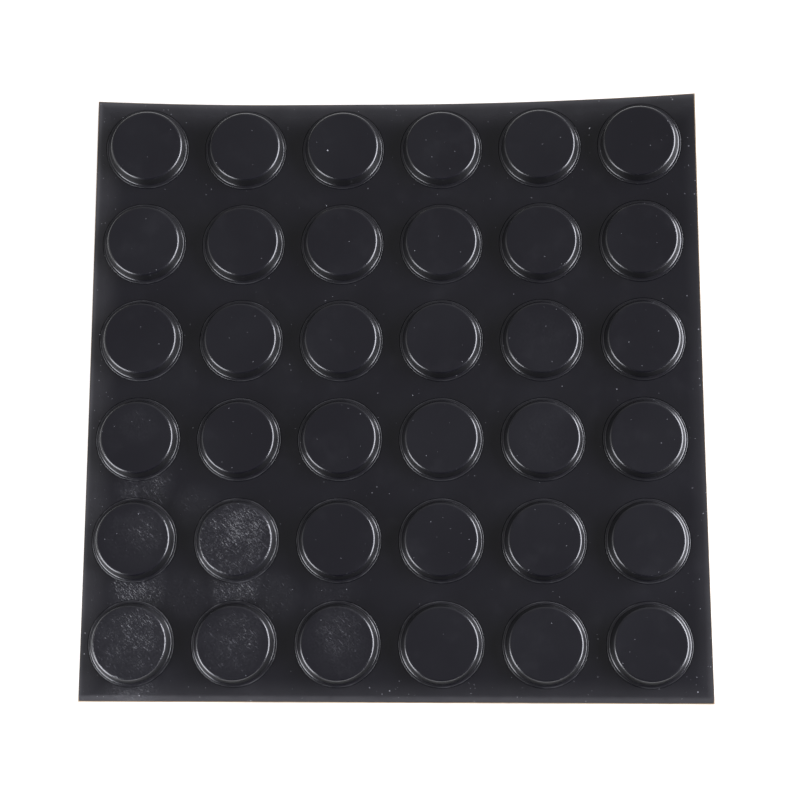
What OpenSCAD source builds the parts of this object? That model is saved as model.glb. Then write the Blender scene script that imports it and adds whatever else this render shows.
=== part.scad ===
// Sheet of self-adhesive rubber feet, cut free one by one and still held together by their release liner.
// The sheet lies on its back, feet up, and its two back corners curl off the bench.
// The origin is on the bench under the middle of the sheet. +X is right, +Y is the back edge and +Z is up.

/* [Grid] */
// Rows of feet, counted from the back edge
rows = 6; // [1:1:7]
// Feet in each row, counted from the left edge
columns = 6; // [1:1:7]
// Width of web left between two neighbouring feet
bridge_w = 2.6; // [1:0.1:6]

/* [Foot] */
// Diameter of a foot at the knife cut that frees it, its nominal size
foot_d = 12.7; // [8:0.1:20]
// Width of the thin skirt between the cut and the side of the raised disc
skirt_w = 0.45; // [0.2:0.05:1.5]
// Height of the raised disc above the web
disc_h = 1.9; // [1:0.1:5]
// How far the side of the disc leans in on its way up
side_lean = 0.5; // [0.1:0.05:1.5]
// Radius that rounds the top edge of the disc
edge_r = 0.35; // [0.1:0.05:0.6]
// Radius of the hollow fillet between the side and the skirt
fillet_r = 0.5; // [0.1:0.05:0.8]

/* [Web] */
// Thickness of the web and of the skirt round each disc
web_t = 0.5; // [0.3:0.05:1.5]
// Width of the slit that the knife left between a foot and the web
slit_w = 0.1; // [0.05:0.05:0.3]
// Width of web outside the feet along the left edge, at the back corner
rim_left = 1.4; // [1:0.05:6]
// How far the askew trim brings the left edge in at the front corner
left_skew = 0.3; // [0:0.05:0.5]
// Width of web outside the feet along the right edge, at the front corner
rim_right = 2.7; // [1.5:0.05:6]
// How far the askew trim brings the right edge in at the back corner
right_skew = 0.75; // [0:0.05:1]
// Width of web outside the feet along the back edge
rim_back = 1.1; // [0.5:0.05:6]
// Width of web outside the feet along the front edge
rim_front = 2; // [1.5:0.05:6]
// How far the slanted cut along the front edge runs in from bottom to top
front_slope = 0.8; // [0.1:0.05:1]

/* [Liner] */
// Thickness of the release liner under the feet and the web
liner_t = 0.12; // [0.06:0.01:0.3]
// How far the liner shows past the rubber on every side
liner_lip = 0.1; // [0:0.05:1]
// Room between the liner and the rubber that the thin coat of adhesive takes up
adhesive_t = 0.05; // [0.03:0.01:0.15]

/* [Curl] */
// Lift of the back left corner off the bench
left_curl_h = 1.9; // [0:0.1:3]
// Width of the left part of the sheet that curls
left_curl_w = 30; // [20:1:40]
// Lift of the back right corner off the bench
right_curl_h = 4.1; // [0:0.1:6]
// Width of the right part of the sheet that curls
right_curl_w = 47; // [30:1:50]

/* [Hidden] */
$fn = 96;
function foot_name(row, column) = str("foot_r", row, "c", column);

rubber = [0.06, 0.06, 0.07];
kraft = [0.72, 0.60, 0.42];

pitch = foot_d + bridge_w;
feet_w = columns * pitch - bridge_w;
feet_l = rows * pitch - bridge_w;
sheet_w = rim_left + feet_w + rim_right;
sheet_l = rim_front + feet_l + rim_back;

left_x = -sheet_w / 2;
right_x = sheet_w / 2;
front_y = -sheet_l / 2;
back_y = sheet_l / 2;
first_x = left_x + rim_left + foot_d / 2;
first_y = back_y - rim_back - foot_d / 2;
function foot_x(column) = first_x + (column - 1) * pitch;
function foot_y(row) = first_y - (row - 1) * pitch;

foot_r = foot_d / 2;
base_r = foot_r - skirt_w;
top_r = base_r - side_lean;
foot_h = web_t + disc_h;
rubber_z = liner_t + adhesive_t;

// Both roundings turn through the angle between the flat top and the leaning side.
round_turn = 90 - atan(side_lean / disc_h);
tangent_share = tan(round_turn / 2);
side_len = norm([side_lean, disc_h]);
room_share = 0.45;
skirt_share = 0.95;
top_round = min(edge_r, room_share * side_len / tangent_share);
low_round = min(fillet_r, room_share * side_len / tangent_share, skirt_share * skirt_w / tangent_share);
round_steps = 8;

// Cells of the faceted curled sheets, across and from front to back
cells_x = 24;
cells_y = 18;
// Distance over which the slope of the curl is measured, and points tried round a foot's rim
probe = 0.01;
rim_points = 24;
// How far the round cutters reach past what they cut
reach = 1;

// Height of the curled sheet over the bench: each side rises as a parabola that grows towards the back
function growth(from, to, at) = pow(max(0, (at - from) / (to - from)), 2);
function lift(x, y) = growth(front_y, back_y, y) * (
    left_curl_h * growth(left_x + left_curl_w, left_x, x) +
    right_curl_h * growth(right_x - right_curl_w, right_x, x)
);
function slope_x(x, y) = (lift(x + probe, y) - lift(x - probe, y)) / (2 * probe);
function slope_y(x, y) = (lift(x, y + probe) - lift(x, y - probe)) / (2 * probe);

// A foot stays flat while the sheet curls, so it rides on the highest point under its rim.
function rim_rise(x, y) = max([
    for (i = [0:rim_points - 1])
        let (
            dx = foot_r * cos(360 * i / rim_points),
            dy = foot_r * sin(360 * i / rim_points)
        )
        lift(x + dx, y + dy) - lift(x, y) - slope_x(x, y) * dx - slope_y(x, y) * dy
]);

// Half section of a foot, from its axis outwards
function low_round_points() = [
    for (i = [0:round_steps])
        let (turn = round_turn * i / round_steps)
        [
            base_r + low_round * (tangent_share - sin(turn)),
            web_t + low_round * (1 - cos(turn))
        ]
];
function top_round_points() = [
    for (i = [round_steps:-1:0])
        let (turn = round_turn * i / round_steps)
        [
            top_r - top_round * (tangent_share - sin(turn)),
            foot_h - top_round * (1 - cos(turn))
        ]
];
function foot_section() = concat(
    [[0, 0], [foot_r, 0], [foot_r, web_t]],
    low_round_points(),
    top_round_points(),
    [[0, foot_h]]
);

// Point of the trimmed sheet's plan at the shares s across and t from front to back, grown by a lip
function plan_x(s, t, lip) =
    (1 - s) * (left_x + left_skew * (1 - t) - lip) +
    s * (right_x - right_skew * t + lip);
function plan_y(t, lip, slope) =
    (1 - t) * (front_y - lip + slope) +
    t * (back_y + lip);

// One grid of points on the curl, at a height over the bench side of the sheet
function curled_points(z, lip, slope) = [
    for (j = [0:cells_y], i = [0:cells_x])
        let (
            x = plan_x(i / cells_x, j / cells_y, lip),
            y = plan_y(j / cells_y, lip, slope)
        )
        [x, y, z + lift(x, y)]
];

per_row = cells_x + 1;
per_face = per_row * (cells_y + 1);
function low_point(i, j) = j * per_row + i;
function high_point(i, j) = per_face + low_point(i, j);

// A curled slab: its two faces and its four edges, all as triangles
function slab_faces() = concat(
    [for (j = [0:cells_y - 1], i = [0:cells_x - 1]) each [
        [low_point(i, j), low_point(i + 1, j), low_point(i + 1, j + 1)],
        [low_point(i, j), low_point(i + 1, j + 1), low_point(i, j + 1)],
        [high_point(i, j), high_point(i + 1, j + 1), high_point(i + 1, j)],
        [high_point(i, j), high_point(i, j + 1), high_point(i + 1, j + 1)]
    ]],
    [for (i = [0:cells_x - 1]) each [
        [low_point(i, 0), high_point(i, 0), high_point(i + 1, 0)],
        [low_point(i, 0), high_point(i + 1, 0), low_point(i + 1, 0)],
        [low_point(i, cells_y), high_point(i + 1, cells_y), high_point(i, cells_y)],
        [low_point(i, cells_y), low_point(i + 1, cells_y), high_point(i + 1, cells_y)]
    ]],
    [for (j = [0:cells_y - 1]) each [
        [low_point(0, j), high_point(0, j + 1), high_point(0, j)],
        [low_point(0, j), low_point(0, j + 1), high_point(0, j + 1)],
        [low_point(cells_x, j), high_point(cells_x, j), high_point(cells_x, j + 1)],
        [low_point(cells_x, j), high_point(cells_x, j + 1), low_point(cells_x, j + 1)]
    ]]
);

module curled_slab(z, thickness, lip, top_slope) {
    polyhedron(
        points = concat(
            curled_points(z, lip, 0),
            curled_points(z + thickness, lip, top_slope)
        ),
        faces = slab_faces()
    );
}

// Places its children on the curl at a foot's centre, square to the sheet there
module on_curl(row, column) {
    x = foot_x(column);
    y = foot_y(row);
    tilt_x = slope_x(x, y);
    tilt_y = slope_y(x, y);
    steepness = norm([tilt_x, tilt_y]);
    translate([x, y, rubber_z + lift(x, y) + rim_rise(x, y)])
        rotate(a = atan(steepness), v = steepness > 0 ? [tilt_y, -tilt_x, 0] : [0, 0, 1])
            children();
}

// One foot: a low disc with a leaning side on a thin skirt, turned about its own axis
module foot(row, column) {
    color(rubber)
        on_curl(row, column)
            rotate_extrude()
                polygon(foot_section());
}

// The web that is left round the feet, with one round hole for each foot
module web() {
    color(rubber)
        difference() {
            curled_slab(rubber_z, web_t, 0, front_slope);
            for (row = [1:rows], column = [1:columns])
                on_curl(row, column)
                    translate([0, 0, -reach])
                        cylinder(h = web_t + 2 * reach, r = foot_r + slit_w);
        }
}

// The uncut paper liner that carries the feet and the web on its coated face
module release_liner() {
    color(kraft)
        curled_slab(0, liner_t, liner_lip, 0);
}

for (row = [1:rows], column = [1:columns])
    foot(row, column);
web();
release_liner();
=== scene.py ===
# %% [markdown]
# # A sheet of self-adhesive rubber feet
#
# The real object is a thin square of moulded black rubber, about 93 mm on each side. Thirty-six low
# round feet stand on it in six rows. A knife has cut round every foot, down to the brown paper behind,
# so that each one can be peeled off and stuck under a box or an appliance.
#
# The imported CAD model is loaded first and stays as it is. Everything that is made here lies in the same
# frame: metres, +X to the right edge, +Y to the back edge, and +Z up through the feet.

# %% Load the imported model
import math

import bmesh
import bpy
from mathutils import Matrix, Vector


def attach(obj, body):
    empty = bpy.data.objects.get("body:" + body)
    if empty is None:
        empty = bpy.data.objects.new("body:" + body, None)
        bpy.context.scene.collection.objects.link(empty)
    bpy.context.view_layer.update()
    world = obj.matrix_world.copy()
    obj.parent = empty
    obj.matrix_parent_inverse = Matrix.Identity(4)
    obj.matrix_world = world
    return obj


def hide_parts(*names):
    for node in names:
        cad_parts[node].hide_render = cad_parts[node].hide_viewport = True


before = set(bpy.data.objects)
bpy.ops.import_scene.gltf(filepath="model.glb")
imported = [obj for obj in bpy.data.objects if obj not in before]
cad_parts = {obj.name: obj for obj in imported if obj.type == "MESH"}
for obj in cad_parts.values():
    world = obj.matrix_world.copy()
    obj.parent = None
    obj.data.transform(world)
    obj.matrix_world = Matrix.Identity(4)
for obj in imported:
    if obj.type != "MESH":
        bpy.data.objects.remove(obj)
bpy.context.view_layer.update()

scene = bpy.context.scene
MM = 0.001

# %% [markdown]
# ## The sizes
#
# These are the sizes of the part's source, in metres. The scene can't read that file, so they are
# written down once more, and all pieces below take their shape from them. A few were fitted again to
# the arcs of light and the edges in the photograph: the lean, the two radii, the lips of the paper and
# the trim of the right and front edges. They differ from the source by less than 0.2 mm.

# %% Sizes of the sheet, its feet and its paper
ROWS = 6
COLUMNS = 6
BRIDGE = 2.6 * MM
FOOT_RADIUS = 6.35 * MM
SKIRT = 0.45 * MM
DISC_HEIGHT = 1.9 * MM
SIDE_LEAN = 0.44 * MM
EDGE_RADIUS = 0.46 * MM
FILLET_RADIUS = 0.32 * MM
WEB_THICKNESS = 0.5 * MM
LINER_THICKNESS = 0.12 * MM
LIP_LEFT = 0.15 * MM
LIP_RIGHT = 0.14 * MM
LIP_BACK = 0.25 * MM
LIP_FRONT = 0.12 * MM
COAT_GAP = 0.004 * MM
RUBBER_Z = 0.17 * MM
RIM_LEFT = 1.4 * MM
RIM_RIGHT = 2.7 * MM
RIM_BACK = 1.1 * MM
RIM_FRONT = 2.0 * MM
LEFT_SKEW = 0.3 * MM
RIGHT_SKEW = 0.70 * MM
RIGHT_TRIM = 0.05 * MM
FRONT_TRIM = 0.06 * MM
FRONT_SLOPE = 0.8 * MM
CUT_LIP = 0.12 * MM
SLIT = 0.015 * MM
PRESSED_WIDTH = 0.16 * MM
PRESSED_DEPTH = 0.06 * MM
LEFT_CURL_LIFT = 1.9 * MM
LEFT_CURL_WIDTH = 30 * MM
RIGHT_CURL_LIFT = 4.1 * MM
RIGHT_CURL_WIDTH = 47 * MM

PITCH = 2 * FOOT_RADIUS + BRIDGE
SHEET_WIDTH = RIM_LEFT + COLUMNS * PITCH - BRIDGE + RIM_RIGHT
SHEET_LENGTH = RIM_FRONT + ROWS * PITCH - BRIDGE + RIM_BACK
LEFT = -SHEET_WIDTH / 2
RIGHT = SHEET_WIDTH / 2 + RIGHT_TRIM
FRONT = -SHEET_LENGTH / 2 - FRONT_TRIM
BACK = SHEET_LENGTH / 2
FIRST_X = LEFT + RIM_LEFT + FOOT_RADIUS
FIRST_Y = BACK - RIM_BACK - FOOT_RADIUS
WEB_TOP = RUBBER_Z + WEB_THICKNESS
FOOT_TOP = WEB_TOP + DISC_HEIGHT
COAT_Z = LINER_THICKNESS + COAT_GAP
print("pitch", round(PITCH / MM, 2), "sheet", round(SHEET_WIDTH / MM, 2), round(SHEET_LENGTH / MM, 2))

# %% [markdown]
# ## Nodes written as Python expressions
#
# Shapes and finishes below are both made of nodes. Wiring them by hand takes many lines, so one small
# class wraps a node's output. Adding, multiplying or dividing two such wires adds a Math node, and the
# method `add` makes any other node from its type, its settings and the values or links of its sockets.

# %% A wire between nodes
class Wire:
    """One output in a node tree, on which Python's operators add Math nodes."""

    def __init__(self, tree, output=None):
        self.tree = tree
        self.output = output

    def add(self, kind, settings=None, sockets=None, out=0):
        """Adds a node: its settings first, then the value or link of each named socket."""
        made = self.tree.nodes.new(kind)
        for name, value in (settings or {}).items():
            setattr(made, name, value)
        for name, value in (sockets or {}).items():
            socket = self.pick(made.inputs, name)
            if isinstance(value, Wire):
                self.tree.links.new(value.output, socket)
            else:
                socket.default_value = value
        return Wire(self.tree, self.pick(made.outputs, out) if made.outputs else None)

    def pick(self, sockets, name):
        """The socket of that name or number among those that the node's settings leave in use."""
        used = [s for s in sockets if s.enabled]
        return used[name] if isinstance(name, int) else next(s for s in used if s.name == name)

    def also(self, name):
        """Another output of the same node."""
        return Wire(self.tree, self.pick(self.output.node.outputs, name))

    def math(self, operation, *values):
        return self.add("ShaderNodeMath", {"operation": operation}, dict(enumerate(values)))

    def through(self, operation, *others):
        """This wire, and any others after it, through one Math node."""
        return self.math(operation, self, *others)

    def __add__(self, other):
        return self.math("ADD", self, other)

    def __radd__(self, other):
        return self.math("ADD", other, self)

    def __sub__(self, other):
        return self.math("SUBTRACT", self, other)

    def __rsub__(self, other):
        return self.math("SUBTRACT", other, self)

    def __mul__(self, other):
        return self.math("MULTIPLY", self, other)

    def __rmul__(self, other):
        return self.math("MULTIPLY", other, self)

    def __truediv__(self, other):
        return self.math("DIVIDE", self, other)

    def __rtruediv__(self, other):
        return self.math("DIVIDE", other, self)

    def __lt__(self, other):
        return self.math("LESS_THAN", self, other)

    def __gt__(self, other):
        return self.math("GREATER_THAN", self, other)

    def at_least(self, other):
        return self.math("MAXIMUM", self, other)

    def at_most(self, other):
        return self.math("MINIMUM", self, other)

    def share(self):
        """Held between 0 and 1."""
        return self.at_least(0).at_most(1)

    def ramp(self, start, end):
        """0 up to start, 1 from end on, and a smooth rise between them."""
        settings = {"interpolation_type": "SMOOTHSTEP"}
        return self.add("ShaderNodeMapRange", settings, {"Value": self, "From Min": start, "From Max": end})

    def split(self):
        """The three parts of a vector."""
        x = self.add("ShaderNodeSeparateXYZ", {}, {0: self})
        return x, x.also("Y"), x.also("Z")

    def join(self, x, y, z):
        return self.add("ShaderNodeCombineXYZ", {}, {"X": x, "Y": y, "Z": z})

    def vector(self, operation, *values):
        return self.add("ShaderNodeVectorMath", {"operation": operation}, dict(enumerate(values)))

    def scaled(self, factor):
        """A vector times a number."""
        return self.add("ShaderNodeVectorMath", {"operation": "SCALE"}, {0: self, "Scale": factor})


def new_group(name, inputs, result=("Geometry", "NodeSocketGeometry")):
    """An empty geometry tree with named inputs, each given as a name, a kind of socket and a value."""
    tree = bpy.data.node_groups.new(name, "GeometryNodeTree")
    for label, kind, value in inputs:
        socket = tree.interface.new_socket(name=label, in_out="INPUT", socket_type="NodeSocket" + kind)
        if value is not None:
            socket.default_value = value
    tree.interface.new_socket(name=result[0], in_out="OUTPUT", socket_type=result[1])
    return tree


print("node helpers ready")

# %% [markdown]
# ## The curl
#
# The sheet lies flat at the front and in the middle, and its two back corners have curled up, because
# the paper and the rubber shrink by different amounts. The lift is a parabola from the side inwards,
# and it grows as a parabola towards the back. It could be bent in with a lattice, but the same
# formula as in the CAD source is exact. A group holds it, so that the feet, the web and the paper all
# bend as one: a point at some height moves along the normal of the bent sheet.

# %% A group that bends the flat sheet
CURL_INPUTS = [
    ("Flat", "Vector", None),
    ("Left lift", "Float", LEFT_CURL_LIFT),
    ("Left width", "Float", LEFT_CURL_WIDTH),
    ("Right lift", "Float", RIGHT_CURL_LIFT),
    ("Right width", "Float", RIGHT_CURL_WIDTH),
    ("Left edge", "Float", LEFT),
    ("Right edge", "Float", RIGHT),
    ("Front edge", "Float", FRONT),
    ("Length", "Float", SHEET_LENGTH),
]
curl_group = new_group("curl of the sheet", CURL_INPUTS, ("Curled", "NodeSocketVector"))


def build_curl(tree):
    given = Wire(tree).add("NodeGroupInput")
    x, y, z = given.split()
    left_lift = given.also("Left lift")
    left_width = given.also("Left width")
    right_lift = given.also("Right lift")
    right_width = given.also("Right width")
    length = given.also("Length")
    left = ((given.also("Left edge") + left_width - x) / left_width).at_least(0)
    right = ((x - given.also("Right edge") + right_width) / right_width).at_least(0)
    back = ((y - given.also("Front edge")) / length).at_least(0)
    rise = left_lift * left * left + right_lift * right * right
    lift = rise * back * back
    slope_x = (right_lift * right / right_width - left_lift * left / left_width) * 2 * back * back
    slope_y = rise * back * 2 / length
    along = z / (slope_x * slope_x + slope_y * slope_y + 1).through("SQRT")
    curled = given.join(x - slope_x * along, y - slope_y * along, lift + along)
    given.add("NodeGroupOutput", {}, {"Curled": curled})


build_curl(curl_group)
print("curl group:", len(curl_group.nodes), "nodes")


# %% Helpers that bend, finish and bake a tree's mesh
WAVINESS = 0.02 * MM
WAVES_PER_METRE = 260
CREASE_ANGLE = 0.6
WELD = 0.002 * MM


def bent(shape, waviness=0.0):
    """The shape's points moved onto the curl, with a faint unevenness of the moulded surface."""
    place = shape.add("GeometryNodeInputPosition")
    curled = shape.add("GeometryNodeGroup", {"node_tree": curl_group}, {"Flat": place})
    if waviness:
        waves = {"Vector": place, "Scale": WAVES_PER_METRE, "Detail": 1}
        colour = shape.add("ShaderNodeTexNoise", {}, waves, "Color")
        centred = shape.vector("SUBTRACT", colour, (0.5, 0.5, 0.5))
        curled = shape.vector("ADD", curled, centred.scaled(waviness))
    return shape.add("GeometryNodeSetPosition", {}, {"Geometry": shape, "Position": curled})


def finished(shape, material):
    """Smooth faces with sharp creases, made real and given their finish, as the tree's result."""
    smooth = shape.add("GeometryNodeSetShadeSmooth", {"domain": "FACE"}, {"Geometry": shape})
    angle = shape.add("GeometryNodeInputMeshEdgeAngle")
    edges = {"Geometry": smooth, "Shade Smooth": angle < CREASE_ANGLE}
    sharp = shape.add("GeometryNodeSetShadeSmooth", {"domain": "EDGE"}, edges)
    real = shape.add("GeometryNodeRealizeInstances", {}, {"Geometry": sharp})
    dressed = shape.add("GeometryNodeSetMaterial", {}, {"Geometry": real, "Material": material})
    shape.add("NodeGroupOutput", {}, {"Geometry": dressed})


def grown(name, tree, values, points=()):
    """Runs a tree on a line of points and keeps its result as a plain mesh object."""
    line = bpy.data.meshes.new(name + "_line")
    line.from_pydata(list(points), [], [])
    maker = bpy.data.objects.new(name + "_maker", line)
    scene.collection.objects.link(maker)
    modifier = maker.modifiers.new("tree", "NODES")
    modifier.node_group = tree
    for item in tree.interface.items_tree:
        if item.in_out == "INPUT" and item.name in values:
            modifier[item.identifier] = values[item.name]
    seen = maker.evaluated_get(bpy.context.evaluated_depsgraph_get())
    mesh = bpy.data.meshes.new_from_object(seen)
    mesh.name = name
    bpy.data.objects.remove(maker)
    piece = bpy.data.objects.new(name, mesh)
    scene.collection.objects.link(piece)
    return piece


def check_closed(piece):
    """Prints the triangles, open edges and enclosed volume: a solid has none open and a positive volume."""
    work = bmesh.new()
    work.from_mesh(piece.data)
    open_edges = sum(not edge.is_manifold for edge in work.edges)
    triangles = sum(len(face.verts) - 2 for face in work.faces)
    volume = work.calc_volume(signed=True) / MM ** 3
    work.free()
    print(piece.name, "triangles", triangles, "open edges", open_edges, "mm3", round(volume, 1))


print("mesh helpers ready")

# %% [markdown]
# ## The black rubber
#
# The rubber is moulded against polished steel, so it is a smooth, satin black with a faint blue cast.
# What makes it look real is what has happened to it: patches where the mould left an orange-peel
# grain, bright specks of dust and soft smears. Light is painted into the colour too: pale glints and a
# pale sheen on the grain, a paler band of painted glare along the edges, and painted shade on the steep
# sides.
# Each is a mask in Object coordinates, which are this frame's own, so a patch stays at its place on
# the sheet from every side. A mask changes the colour, the roughness or the bump, and nothing else.
# Lengths in the masks are in millimetres.

# %% Where the orange-peel grain lies: x, y, radius and strength of each soft round patch
PEEL_FEET = [
    (-22.2, -20.7, 4.6, 0.85),
    (-24.9, -21.2, 4.6, 0.68),
    (-23.6, -22.5, 8.0, 0.56),
    (-37.0, -36.0, 4.8, 0.56),
    (-39.6, -35.8, 4.4, 0.40),
    (-38.7, -37.8, 7.4, 0.40),
    (-22.9, -36.4, 5.0, 0.50),
    (-23.6, -37.8, 6.2, 0.36),
    (-7.9, -36.4, 5.0, 0.48),
    (-8.3, -37.8, 6.0, 0.28),
    (-37.2, -21.4, 4.6, 0.45),
    (-38.6, -22.4, 5.8, 0.22),
    (22.3, 8.0, 5.4, 0.12),
    (22.5, -7.2, 5.4, 0.14),
    (-38.6, -5.4, 3.6, 0.18),
]
PEEL_WEB = [
    (-38.0, -29.5, 5.4, 0.68),
    (-23.4, -29.5, 5.2, 0.68),
    (-38.4, -44.6, 4.8, 0.60),
    (-30.0, -17.5, 4.6, 0.35),
    (-37.5, -14.2, 5.4, 0.55),
    (-9.0, -29.6, 4.4, 0.25),
    (-31.0, -30.5, 4.8, 0.28),
    (-43.5, -20.0, 5.0, 0.22),
    (-18.0, -31.0, 5.0, 0.35),
]
print("patches of grain:", len(PEEL_FEET), "on the feet,", len(PEEL_WEB), "on the web")


# %% Masks that the finishes share
def object_mm(wires):
    """The point's place in the frame, in millimetres."""
    return wires.add("ShaderNodeTexCoord", {}, {}, "Object").scaled(1 / MM)


def noise(wires, place, scale, detail=2, roughness=0.5):
    values = {"Vector": place, "Scale": scale, "Detail": detail, "Roughness": roughness}
    return wires.add("ShaderNodeTexNoise", {}, values)


def blobs(wires, place, spots):
    """Soft round patches, full in their inner third; where two overlap, the stronger one counts."""
    mask = None
    x, y = place.split()[:2]
    for spot_x, spot_y, radius, strength in spots:
        away_x = x - spot_x
        away_y = y - spot_y
        square = away_x * away_x + away_y * away_y
        patch = (1 - square.ramp(0.1 * radius * radius, radius * radius)) * strength
        mask = patch if mask is None else mask.at_least(patch)
    return mask


def specks(wires, place, cell, kept, smallest, largest):
    """Round specks of uneven size: one in some of the cells, so that only the share `kept` has one."""
    found = wires.add("ShaderNodeTexVoronoi", {"feature": "F1"}, {"Vector": place, "Scale": 1 / cell})
    chance, size = found.also("Color").split()[:2]
    radius = (smallest + size * size * (largest - smallest)) / cell
    return (found < radius) * (chance < kept)


def colour_mix(wires, share, first, second):
    colours = {"Factor": share, "A": first, "B": second}
    return wires.add("ShaderNodeMix", {"data_type": "RGBA"}, colours, "Result")


def bump(wires, height, strength, depth, below=None):
    values = {"Height": height, "Strength": strength, "Distance": depth}
    if below is not None:
        values["Normal"] = below
    return wires.add("ShaderNodeBump", {}, values)


def new_finish(name):
    """A new material with its shader, ready for wires."""
    material = bpy.data.materials.new(name)
    material.use_nodes = True
    shader = material.node_tree.nodes["Principled BSDF"]
    return material, shader, Wire(material.node_tree)


def plug(shader, socket, wire):
    wire.tree.links.new(wire.output, shader.inputs[socket])


print("mask helpers ready")

# %% The rubber's own colours, the painted glare, sheen and shade, and how strong each mark on it is
BLACK = (0.0045, 0.0041, 0.0072, 1)
SMOKE = (0.0068, 0.0066, 0.0098, 1)
SIDE_SHADE_BLACK = (0.0012, 0.0012, 0.0014, 1)
CUT_GREY = (0.060, 0.060, 0.065, 1)
EDGE_GLARE_GREY = (0.051, 0.050, 0.054, 1)
DUST_AND_SHEEN = (0.42, 0.42, 0.46, 1)

FINE_DUST = 0.22
COARSE_DUST = 0.8
CRUMBS = 0.45
PAINTED_GLINTS = 0.10
MOTTLED_SHEEN = 0.065
HAZY_SHEEN = 0.010
SMEARS = 0.008
GRAIN_DEPTH = 0.02 * MM
PEEL_DEPTH = 0.22 * MM
DUST_DEPTH = 0.05 * MM
RUBBER_IOR = 1.6

# Bands of painted glare along each edge, a paler colour that stands in for the glare of the bright white
# floor past the edges: their strength, and how far in they begin and end to fade.
GLARE_BANDS = {
    "left": [(0.42, 0.0, 5.0), (0.5, 0.1, 0.8)],
    "right": [(0.24, 0.0, 3.0)],
    "front": [(0.30, 0.0, 4.0), (0.36, 0.6, 1.0)],
    "back": [(0.42, 0.0, 5.0), (0.15, 0.1, 0.7)],
}
print("bands of wear:", sum(len(bands) for bands in GLARE_BANDS.values()))


# %% The finish of feet and web
def rim_masks(x, y):
    """The distance to the nearest edge of the sheet, and how much painted glare pales the rubber along the
    edges.
    """
    gaps = {
        "left": x - LEFT / MM,
        "right": RIGHT / MM - x,
        "front": y - FRONT / MM,
        "back": BACK / MM - y,
    }
    nearest = None
    glare_in_bands = None
    for side, gap in gaps.items():
        glare = sum(strength * (1 - gap.ramp(start, end)) for strength, start, end in GLARE_BANDS[side])
        nearest = gap if nearest is None else nearest.at_most(gap)
        glare_in_bands = glare if glare_in_bands is None else glare_in_bands.at_least(glare)
    # Painted glare: the rubber is paler right at the edges and in bands along them.
    glare_at_edge = 0.8 * (1 - nearest.ramp(-0.6, 1.2))
    return nearest, glare_at_edge + glare_in_bands


def rubber_finish(name, peel_spots, rim=False):
    material, shader, wires = new_finish(name)
    place = object_mm(wires)
    far_place = wires.vector("ADD", place, (31.7, 12.3, 5.1))
    x, y, z = place.split()
    cloud = noise(wires, place, scale=0.07, detail=3)
    grain = noise(wires, place, scale=5.0, detail=3, roughness=0.6)
    ragged = noise(wires, place, scale=0.4, detail=3, roughness=0.6)
    smear = noise(wires, far_place, scale=0.22, detail=3, roughness=0.6).ramp(0.50, 0.78)
    fine_dust = specks(wires, place, cell=0.9, kept=0.34, smallest=0.03, largest=0.10)
    coarse_dust = specks(wires, far_place, cell=3.4, kept=0.2, smallest=0.06, largest=0.15)
    dust = fine_dust * FINE_DUST + coarse_dust * COARSE_DUST

    level_face = wires.add("ShaderNodeTexCoord", {}, {}, "Normal").split()[2].ramp(0.3, 0.8)
    base = colour_mix(wires, cloud.ramp(0.35, 0.75), BLACK, SMOKE)
    # Painted shade: steep sides are made darker than the level faces.
    base = colour_mix(wires, (1 - level_face) * 0.8, base, SIDE_SHADE_BLACK)
    if rim:
        nearest, edge_glare = rim_masks(x, y)
        # Painted glare: the web's colour is mixed paler along the edges.
        base = colour_mix(wires, (edge_glare * (0.7 + ragged * 0.6)).share(), base, EDGE_GLARE_GREY)
        crumbs = specks(wires, far_place, cell=0.75, kept=0.55, smallest=0.03, largest=0.10)
        dust = dust.at_least(crumbs * (1 - nearest.ramp(0.5, 5.0)) * CRUMBS)

    patch = blobs(wires, place, peel_spots) * (0.6 + 0.4 * ragged.ramp(0.3, 0.65))
    slanted = wires.join((x - y) * 0.5, (x + y) * 1.8, z)
    pebble = noise(wires, slanted, scale=1.7, detail=2, roughness=0.6)
    # Painted glints: sparse pale dots in the colour over the grain patches, where the grain would catch the
    # lamps.
    painted_glint = (pebble + patch * 0.14).ramp(0.66, 0.80) * patch.ramp(0.0, 0.35)
    # Painted sheen: a pale mottle and an even pale haze in the colour over the grain patches.
    sheen_mottle = noise(wires, place, scale=4.2, detail=3, roughness=0.7).ramp(0.40, 0.64)
    sheen_haze = patch.at_most(0.6)
    # Paler with real dust and smears, and with the painted glints and painted sheen of the grain.
    paler = dust + painted_glint * PAINTED_GLINTS + sheen_mottle * sheen_haze * MOTTLED_SHEEN + sheen_haze * HAZY_SHEEN + smear * SMEARS
    base = colour_mix(wires, paler.share(), base, DUST_AND_SHEEN)

    cut = wires.add("ShaderNodeAttribute", {"attribute_name": "cut"}, {}, "Fac")
    # The cut edges are paler grey, more so toward the front left of the sheet.
    toward_front_left = (x + y).ramp(60, -60)
    paler_cut = cut * ragged.ramp(0.3, 0.7) * (0.08 + 0.92 * toward_front_left)
    plug(shader, "Base Color", colour_mix(wires, paler_cut, base, CUT_GREY))
    rough = 0.19 + cloud * 0.05 + grain * 0.04 + dust * 0.3 + (1 - level_face) * 0.24 + cut * 0.10
    plug(shader, "Roughness", rough.share())
    shader.inputs["IOR"].default_value = RUBBER_IOR
    skin = bump(wires, grain, strength=0.12, depth=GRAIN_DEPTH)
    peel = bump(wires, pebble * patch, strength=1.0, depth=PEEL_DEPTH, below=skin)
    dusted = bump(wires, dust, strength=0.5, depth=DUST_DEPTH, below=peel)
    plug(shader, "Normal", dusted)
    return material


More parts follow.
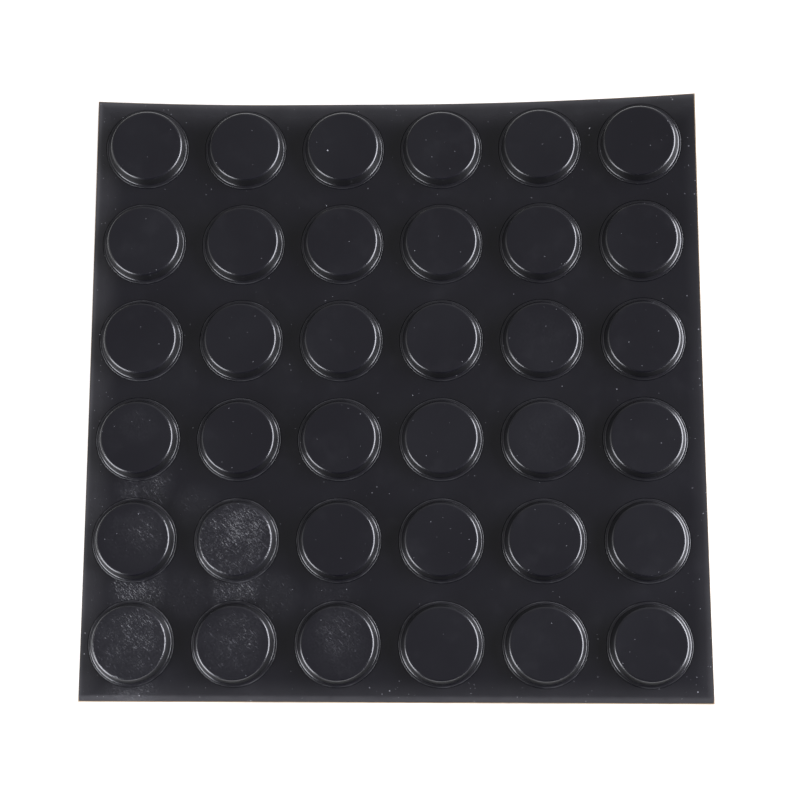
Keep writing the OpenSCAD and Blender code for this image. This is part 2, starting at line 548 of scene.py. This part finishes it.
rubber_of_feet = rubber_finish("black rubber of the feet", PEEL_FEET)
rubber_of_web = rubber_finish("black rubber of the web", PEEL_WEB, rim=True)
print("rubber nodes:", len(rubber_of_feet.node_tree.nodes), len(rubber_of_web.node_tree.nodes))

# %% [markdown]
# ## The release paper
#
# The backing is brown kraft paper with a thin slick coat that lets the adhesive go. Only a hair's
# breadth of it shows past the rubber from above, but its whole underside shows where the corners curl.
# Long, faint fibres run in two directions, with a few dark bits of bark among them.

# %% The finish of the release paper
DARK_PAPER = (0.34, 0.23, 0.13, 1)
PALE_PAPER = (0.48, 0.35, 0.21, 1)
CLOUDED_PAPER = (0.56, 0.42, 0.27, 1)
BARK = (0.20, 0.12, 0.06, 1)
FIBRE_DEPTH = 0.03 * MM


def kraft_finish(name):
    material, shader, wires = new_finish(name)
    place = object_mm(wires)
    cloud = noise(wires, place, scale=0.12, detail=4, roughness=0.6)
    turned = {"Vector": place, "Rotation": (0, 0, 0.35), "Scale": (0.35, 3.2, 1)}
    lengthwise = wires.add("ShaderNodeMapping", {}, turned)
    along = noise(wires, lengthwise, scale=1.3, detail=3, roughness=0.6)
    crossed = {"Vector": place, "Rotation": (0, 0, -1.0), "Scale": (0.3, 2.6, 1)}
    crosswise = wires.add("ShaderNodeMapping", {}, crossed)
    across = noise(wires, crosswise, scale=1.1, detail=3, roughness=0.6)
    fibre = (along + across) * 0.5
    bark = specks(wires, place, cell=1.6, kept=0.2, smallest=0.04, largest=0.14)
    paper = colour_mix(wires, fibre.ramp(0.38, 0.62), DARK_PAPER, PALE_PAPER)
    paper = colour_mix(wires, cloud.ramp(0.3, 0.7) * 0.35, paper, CLOUDED_PAPER)
    paper = colour_mix(wires, bark * 0.7, paper, BARK)
    plug(shader, "Base Color", paper)
    plug(shader, "Roughness", 0.45 + fibre * 0.2)
    plug(shader, "Normal", bump(wires, fibre + cloud * 0.4, strength=0.5, depth=FIBRE_DEPTH))
    return material


kraft = kraft_finish("coated kraft paper")
print("paper nodes:", len(kraft.node_tree.nodes))

# %% [markdown]
# ## The feet
#
# A foot is a turned shape: a flat top, a rounded top edge, a side that leans in, a hollow fillet and a
# thin skirt that ends at the knife cut. Two thin arcs of light on every foot come from the top edge
# and the fillet, so both need many short faces. A lathe-like tree suits this best. Python works out
# the half section as a line of points, and the tree wraps a flat grid round the axis along that line,
# so that all 36 feet come from one rule and differ only in the place that they are given.

# %% The half section of a foot, from its axis outwards
BASE_RADIUS = FOOT_RADIUS - SKIRT
TOP_RADIUS = BASE_RADIUS - SIDE_LEAN
TURN = math.pi / 2 - math.atan(SIDE_LEAN / DISC_HEIGHT)
TANGENT = math.tan(TURN / 2)
ARC_STEPS = 9
LIP_STEPS = 6


def arc(steps, centre_r, centre_z, radius, start, end):
    """Points on an arc, by the direction from its centre."""
    angles = [start + (end - start) * i / steps for i in range(steps + 1)]
    return [(centre_r + radius * math.cos(a), centre_z + radius * math.sin(a)) for a in angles]


def foot_section():
    """Radius, cut or not, and height of each ring, from the middle of the top to the middle below."""
    top_centre_r = TOP_RADIUS - EDGE_RADIUS * TANGENT
    top_centre_z = FOOT_TOP - EDGE_RADIUS
    top = arc(ARC_STEPS, top_centre_r, top_centre_z, EDGE_RADIUS, math.pi / 2, math.pi / 2 - TURN)
    low_centre_r = BASE_RADIUS + FILLET_RADIUS * TANGENT
    low_centre_z = WEB_TOP + FILLET_RADIUS
    low = arc(ARC_STEPS, low_centre_r, low_centre_z, FILLET_RADIUS, 1.5 * math.pi - TURN, 1.5 * math.pi)
    lip = arc(LIP_STEPS, FOOT_RADIUS - CUT_LIP, WEB_TOP - CUT_LIP, CUT_LIP, math.pi / 2, 0)
    flat = [(top_centre_r * share, FOOT_TOP) for share in (0, 0.3, 0.6, 0.85, 0.97)]
    rest = [(FOOT_RADIUS, (WEB_TOP + COAT_Z) / 2), (FOOT_RADIUS, COAT_Z)]
    under = [(FOOT_RADIUS * share, COAT_Z) for share in (0.8, 0.5, 0)]
    moulded = [(r, 0.0, z) for r, z in flat + top + low]
    cut = [(r, 1.0, z) for r, z in lip + rest]
    return moulded + cut + [(r, 0.0, z) for r, z in under]


section = foot_section()
print("points in the half section:", len(section))

# %% A tree that turns the half section into a foot and bends it with the sheet
SEGMENTS = 96
FOOT_INPUTS = [
    ("Geometry", "Geometry", None),
    ("Segments", "Int", SEGMENTS),
    ("Centre", "Vector", (0.0, 0.0, 0.0)),
]


def lathe(line):
    """A grid to wrap round the axis, the turn at each of its points, and the three numbers of its ring."""
    segments = line.also("Segments")
    size = {"Geometry": line}
    count = line.add("GeometryNodeAttributeDomainSize", {"component": "MESH"}, size, "Point Count")
    grid = line.add("GeometryNodeMeshGrid", {}, {"Vertices X": segments + 1, "Vertices Y": count})
    index = line.add("GeometryNodeInputIndex")
    angle = (index / count).through("FLOOR") * math.tau / segments
    ring = line.add("GeometryNodeInputPosition")
    sample = {"Geometry": line, "Value": ring, "Index": index.through("MODULO", count)}
    numbers = line.add("GeometryNodeSampleIndex", {"data_type": "FLOAT_VECTOR"}, sample).split()
    return grid, angle, numbers


def build_foot(tree, material):
    line = Wire(tree).add("NodeGroupInput")
    grid, angle, (radius, cut, height) = lathe(line)
    mark = {"Geometry": grid, "Name": "cut", "Value": cut}
    marked = line.add("GeometryNodeStoreNamedAttribute", {}, mark)
    place = line.join(radius * angle.through("COSINE"), radius * angle.through("SINE"), height)
    moved = {"Geometry": marked, "Position": place, "Offset": line.also("Centre")}
    turned = line.add("GeometryNodeSetPosition", {}, moved)
    whole = line.add("GeometryNodeMergeByDistance", {}, {"Geometry": turned, "Distance": WELD})
    outward = line.add("GeometryNodeFlipFaces", {}, {"Mesh": whole})
    finished(bent(outward, WAVINESS), material)


foot_tree = new_group("rubber foot", FOOT_INPUTS)
build_foot(foot_tree, rubber_of_feet)
print("foot tree:", len(foot_tree.nodes), "nodes")

# %% Make the 36 feet
for row in range(1, ROWS + 1):
    for column in range(1, COLUMNS + 1):
        node_name = f"foot_r{row}c{column}"
        centre = (FIRST_X + (column - 1) * PITCH, FIRST_Y - (row - 1) * PITCH, 0.0)
        foot = grown("rubber_" + node_name, foot_tree, {"Centre": centre, "Segments": SEGMENTS}, section)
        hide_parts(node_name)
        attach(foot, "root")
        if column == 1:
            check_closed(foot)

# %% [markdown]
# ## The web
#
# What is left of the sheet round the feet is a web with 36 round holes. Cutting the holes with a
# Boolean would leave long thin faces that catch the light badly. Here a tree makes one square cell
# with a round hole, as a ring of faces that runs from the circle out to the square, and puts a copy at
# each foot. The cells' borders meet point to point and are merged. The outer cells are then stretched
# to the uneven trimmed edges, and last the whole web is bent.

# %% The section of one cell, from its border over the top, down the cut and back below
HOLE_RADIUS = FOOT_RADIUS + SLIT


def cell_section():
    """Distance past the hole's edge, share of the way out to the border, and height of each ring."""
    top = [(PRESSED_WIDTH, share, WEB_TOP) for share in (1, 0.96, 0.75, 0.5, 0.28, 0.12, 0.03)]
    round_lip = []
    for step in range(LIP_STEPS + 1):
        turn = 0.5 * math.pi * step / LIP_STEPS
        past = PRESSED_WIDTH * (1 - math.sin(turn))
        round_lip.append((past, 0.0, WEB_TOP - PRESSED_DEPTH * (1 - math.cos(turn))))
    wall = [(0.0, 0.0, (WEB_TOP + COAT_Z) / 2), (0.0, 0.0, COAT_Z)]
    under = [(0.0, share, COAT_Z) for share in (0.3, 0.7, 1)]
    return top + round_lip + wall + under


cell_line = cell_section()
print("points in the cell's section:", len(cell_line))

# %% A tree that makes the web
WEB_INPUTS = [
    ("Geometry", "Geometry", None),
    ("Segments", "Int", SEGMENTS),
    ("Columns", "Int", COLUMNS),
    ("Rows", "Int", ROWS),
    ("Pitch", "Float", PITCH),
    ("Hole radius", "Float", HOLE_RADIUS),
    ("First X", "Float", FIRST_X),
    ("First Y", "Float", FIRST_Y),
    ("Front slope", "Float", FRONT_SLOPE),
]


def cell_of_web(line):
    """One square cell with a round hole, centred on the origin."""
    half = line.also("Pitch") / 2
    hole = line.also("Hole radius")
    grid, angle, (past, share, height) = lathe(line)
    across = angle.through("COSINE")
    along = angle.through("SINE")
    longest = across.through("ABSOLUTE").at_least(along.through("ABSOLUTE"))
    radius = (hole + past) * (1 - share) + half / longest * share
    place = line.join(radius * across, radius * along, height)
    cell = line.add("GeometryNodeSetPosition", {}, {"Geometry": grid, "Position": place})
    return line.add("GeometryNodeMergeByDistance", {}, {"Geometry": cell, "Distance": WELD})


def trimmed(web, line):
    """Stretches the outer cells to the uneven edges that the trimming left, and slants the front cut."""
    half = line.also("Pitch") / 2
    hole = line.also("Hole radius")
    gap = half - hole
    first_x = line.also("First X")
    first_y = line.also("First Y")
    last_x = first_x + (line.also("Columns") - 1) * line.also("Pitch")
    last_y = first_y - (line.also("Rows") - 1) * line.also("Pitch")
    x, y, z = web.add("GeometryNodeInputPosition").split()
    past_back = ((y - first_y - hole) / gap).share()
    past_front = ((last_y - hole - y) / gap).share()
    height = ((z - COAT_Z) / (WEB_TOP - COAT_Z)).share()
    front_edge = FRONT + line.also("Front slope") * height
    new_y = y + past_back * (BACK - first_y - half) + past_front * (front_edge - last_y + half)
    toward_back = (new_y - FRONT) / SHEET_LENGTH
    past_left = ((first_x - hole - x) / gap).share()
    past_right = ((x - last_x - hole) / gap).share()
    left_edge = LEFT + LEFT_SKEW * (1 - toward_back)
    right_edge = RIGHT - RIGHT_SKEW * toward_back
    new_x = x + past_left * (left_edge - first_x + half) + past_right * (right_edge - last_x - half)
    return web.add("GeometryNodeSetPosition", {}, {"Geometry": web, "Position": web.join(new_x, new_y, z)})


def build_web(tree, material):
    line = Wire(tree).add("NodeGroupInput")
    pitch = line.also("Pitch")
    columns = line.also("Columns")
    rows = line.also("Rows")
    width = pitch * (columns - 1)
    length = pitch * (rows - 1)
    grid_size = {"Size X": width, "Size Y": length, "Vertices X": columns, "Vertices Y": rows}
    spread = line.add("GeometryNodeMeshGrid", {}, grid_size)
    middle = line.join(line.also("First X") + width / 2, line.also("First Y") - length / 2, 0.0)
    centres = line.add("GeometryNodeSetPosition", {}, {"Geometry": spread, "Offset": middle})
    cells = {"Points": centres, "Instance": cell_of_web(line)}
    copies = line.add("GeometryNodeInstanceOnPoints", {}, cells)
    real = line.add("GeometryNodeRealizeInstances", {}, {"Geometry": copies})
    joined = line.add("GeometryNodeMergeByDistance", {}, {"Geometry": real, "Distance": WELD})
    faces_at_edge = line.add("GeometryNodeInputMeshEdgeNeighbors")
    height = line.add("GeometryNodeInputPosition").split()[2]
    rim = (faces_at_edge < 1.5) * (height > (WEB_TOP + COAT_Z) / 2)
    drop = line.join(0.0, 0.0, COAT_Z - WEB_TOP)
    down = {"Mesh": joined, "Selection": rim, "Offset": drop, "Offset Scale": 1.0}
    walled = line.add("GeometryNodeExtrudeMesh", {"mode": "EDGES"}, down)
    closed = line.add("GeometryNodeMergeByDistance", {}, {"Geometry": walled, "Distance": WELD})
    finished(bent(trimmed(closed, line), WAVINESS), material)


web_tree = new_group("web with holes", WEB_INPUTS)
build_web(web_tree, rubber_of_web)
print("web tree:", len(web_tree.nodes), "nodes")

# %% Make the web
web = grown("rubber_web_sheet", web_tree, {"Segments": SEGMENTS}, cell_line)
check_closed(web)
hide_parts("web")
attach(web, "root")

# %% [markdown]
# ## The paper under it all
#
# The paper is one thin slab with the same askew outline, a hair wider than the rubber. A finely divided
# box is mapped onto that outline and bent with the rest, which keeps its top and bottom parallel.

# %% A tree that makes the paper
PAPER_CELLS = 64
PAPER_INPUTS = [
    ("Geometry", "Geometry", None),
    ("Cells", "Int", PAPER_CELLS),
    ("Thickness", "Float", LINER_THICKNESS),
]


def build_paper(tree, material):
    given = Wire(tree).add("NodeGroupInput")
    cells = given.also("Cells")
    box_size = {"Size": (1, 1, 1), "Vertices X": cells, "Vertices Y": cells, "Vertices Z": 2}
    box = given.add("GeometryNodeMeshCube", {}, box_size)
    s, t, w = given.add("GeometryNodeInputPosition").split()
    across = s + 0.5
    toward_back = t + 0.5
    left_edge = LEFT + LEFT_SKEW * (1 - toward_back) - LIP_LEFT
    right_edge = RIGHT - RIGHT_SKEW * toward_back + LIP_RIGHT
    x = left_edge * (1 - across) + right_edge * across
    y = (FRONT - LIP_FRONT) * (1 - toward_back) + (BACK + LIP_BACK) * toward_back
    z = (w + 0.5) * given.also("Thickness")
    mapped = given.add("GeometryNodeSetPosition", {}, {"Geometry": box, "Position": given.join(x, y, z)})
    finished(bent(mapped), material)


paper_tree = new_group("release paper", PAPER_INPUTS)
build_paper(paper_tree, kraft)
paper = grown("release_paper", paper_tree, {"Cells": PAPER_CELLS})
check_closed(paper)
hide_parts("release_liner")
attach(paper, "root")

# %% [markdown]
# ## The floor and the light
#
# The sheet lies on plain white. The floor is white to the camera by a little light of its own, so that
# no more light has to fall on the rubber, and it still takes a shadow. Black rubber shows mostly what
# it mirrors: two soft boxes, one at the right and a weaker one at the front left, draw the two bright
# arcs on each foot, while the room straight above is dark, so the flat tops stay black. Both stand
# near, 42 and 25 cm from the middle, so the arcs turn a little from foot to foot, as in the photograph.

# %% The floor
FLOOR_HALF = 4.0
FLOOR_DROP = 0.02 * MM
# The floor's own light: near the sheet, what is added far off, and what only mirrored rays see besides.
NEAR_GLOW = 0.78
FAR_GLOW = 0.24
MIRRORED_GLOW = 0.7
floor_mesh = bpy.data.meshes.new("floor")
corners = [(-1, -1), (1, -1), (1, 1), (-1, 1)]
floor_points = [(x * FLOOR_HALF, y * FLOOR_HALF, -FLOOR_DROP) for x, y in corners]
floor_mesh.from_pydata(floor_points, [], [(0, 1, 2, 3)])
floor = bpy.data.objects.new("floor", floor_mesh)
scene.collection.objects.link(floor)


def floor_finish():
    material, shader, wires = new_finish("white table")
    shader.inputs["Base Color"].default_value = (0.8, 0.8, 0.8, 1)
    shader.inputs["Roughness"].default_value = 0.9
    shadowed = wires.add("ShaderNodeBsdfDiffuse", {}, {"Color": (0.4, 0.4, 0.4, 1)})
    ray = wires.add("ShaderNodeLightPath", {}, {}, "Is Camera Ray")
    x, y = wires.add("ShaderNodeTexCoord", {}, {}, "Object").split()[:2]
    far_off = (x * x + y * y).ramp(0.02, 0.3)
    strength = NEAR_GLOW + FAR_GLOW * far_off + MIRRORED_GLOW * ray.also("Is Glossy Ray")
    glow = wires.add("ShaderNodeEmission", {}, {"Strength": strength})
    glow.output.node.inputs["Color"].default_value = (1, 1, 1, 1)
    seen = wires.add("ShaderNodeAddShader", {}, {0: shadowed, 1: glow})
    direct = ray.at_least(ray.also("Is Glossy Ray")).at_least(ray.also("Is Transmission Ray"))
    lit = Wire(material.node_tree, shader.outputs[0])
    mixed = wires.add("ShaderNodeMixShader", {}, {0: direct, 1: lit, 2: seen})
    output = material.node_tree.nodes["Material Output"]
    material.node_tree.links.new(mixed.output, output.inputs["Surface"])
    return material


floor.data.materials.append(floor_finish())
print("floor", 2 * FLOOR_HALF, "m wide")

# %% The room and two soft boxes
ROOM_GREY = 0.235
WALL_GREY = 0.5
SIDE_GREY = 1.0
FRONT_GREY = 0.03
SOFT_BOX_TINT = (0.91, 0.92, 1.0)


def build_world():
    """A grey room: paler at the back and the left, dark in front, and plain white to the camera."""
    world = bpy.data.worlds.new("studio")
    world.use_nodes = True
    scene.world = world
    tree = world.node_tree
    wires = Wire(tree)
    x, y, z = wires.add("ShaderNodeTexCoord", {}, {}, "Generated").split()
    toward_wall = (y * 0.9 + x * 0.43).ramp(0.25, 0.75)
    toward_side = (z * 0.45 - x * 0.88 - y * 0.12).ramp(0.80, 0.97)
    toward_front = (y + z * 0.3).ramp(-0.3, -0.8)
    level = ROOM_GREY + toward_wall * (WALL_GREY - ROOM_GREY) + toward_side * (SIDE_GREY - ROOM_GREY)
    level = level - toward_front * (ROOM_GREY - FRONT_GREY)
    room = wires.add("ShaderNodeBackground", {}, {"Strength": level})
    room.output.node.inputs["Color"].default_value = (1, 1, 1, 1)
    white = wires.add("ShaderNodeBackground", {}, {"Color": (1, 1, 1, 1), "Strength": 1.0})
    camera_ray = wires.add("ShaderNodeLightPath", {}, {}, "Is Camera Ray")
    mixed = wires.add("ShaderNodeMixShader", {}, {0: camera_ray, 1: room, 2: white})
    tree.links.new(mixed.output, tree.nodes["World Output"].inputs["Surface"])


def soft_box(name, azimuth, elevation, distance, width, height, radiance):
    """A rectangular lamp that faces the sheet; a rectangle's radiance is its power / (area x pi)."""
    lamp = bpy.data.lights.new(name, "AREA")
    lamp.shape = "RECTANGLE"
    lamp.size = width
    lamp.size_y = height
    lamp.energy = radiance * width * height * math.pi
    lamp.color = SOFT_BOX_TINT
    holder = bpy.data.objects.new(name, lamp)
    scene.collection.objects.link(holder)
    holder.visible_camera = False
    a = math.radians(azimuth)
    e = math.radians(elevation)
    away = Vector((math.cos(a) * math.cos(e), math.sin(a) * math.cos(e), math.sin(e)))
    turn = away.to_track_quat("Z", "Y").to_matrix().to_4x4()
    holder.matrix_world = Matrix.Translation(away * distance) @ turn
    print(name, "radiance", radiance, "at azimuth", azimuth, "elevation", elevation)


build_world()
soft_box(
    "soft box at the right",
    azimuth=6.0, elevation=20, distance=0.42, width=0.50, height=0.262, radiance=14.5)
soft_box(
    "soft box at the front left",
    azimuth=215, elevation=20, distance=0.25, width=0.153, height=0.15, radiance=9.5)

# %% [markdown]
# ## The camera
#
# The photograph was taken from above the front of the sheet, a little to the right of its middle. The
# place, the turn and the lens were worked out from the 36 rings and the four edges in the photograph.

# %% The camera
CAMERA_PLACE = (7.62 * MM, -50.06 * MM, 246.85 * MM)
CAMERA_TURN = (math.radians(11.237), math.radians(1.570), math.radians(-0.038))
SENSOR_MM = 36.0
LENS_MM = 74.58
camera_data = bpy.data.cameras.new("camera")
camera_data.sensor_width = SENSOR_MM
camera_data.lens = LENS_MM
camera_data.clip_start = 0.01
camera = bpy.data.objects.new("camera", camera_data)
camera.location = CAMERA_PLACE
camera.rotation_mode = "ZYX"
camera.rotation_euler = CAMERA_TURN
scene.collection.objects.link(camera)
scene.camera = camera
scene.view_settings.view_transform = "Standard"
print("camera lens", camera_data.lens, "mm")
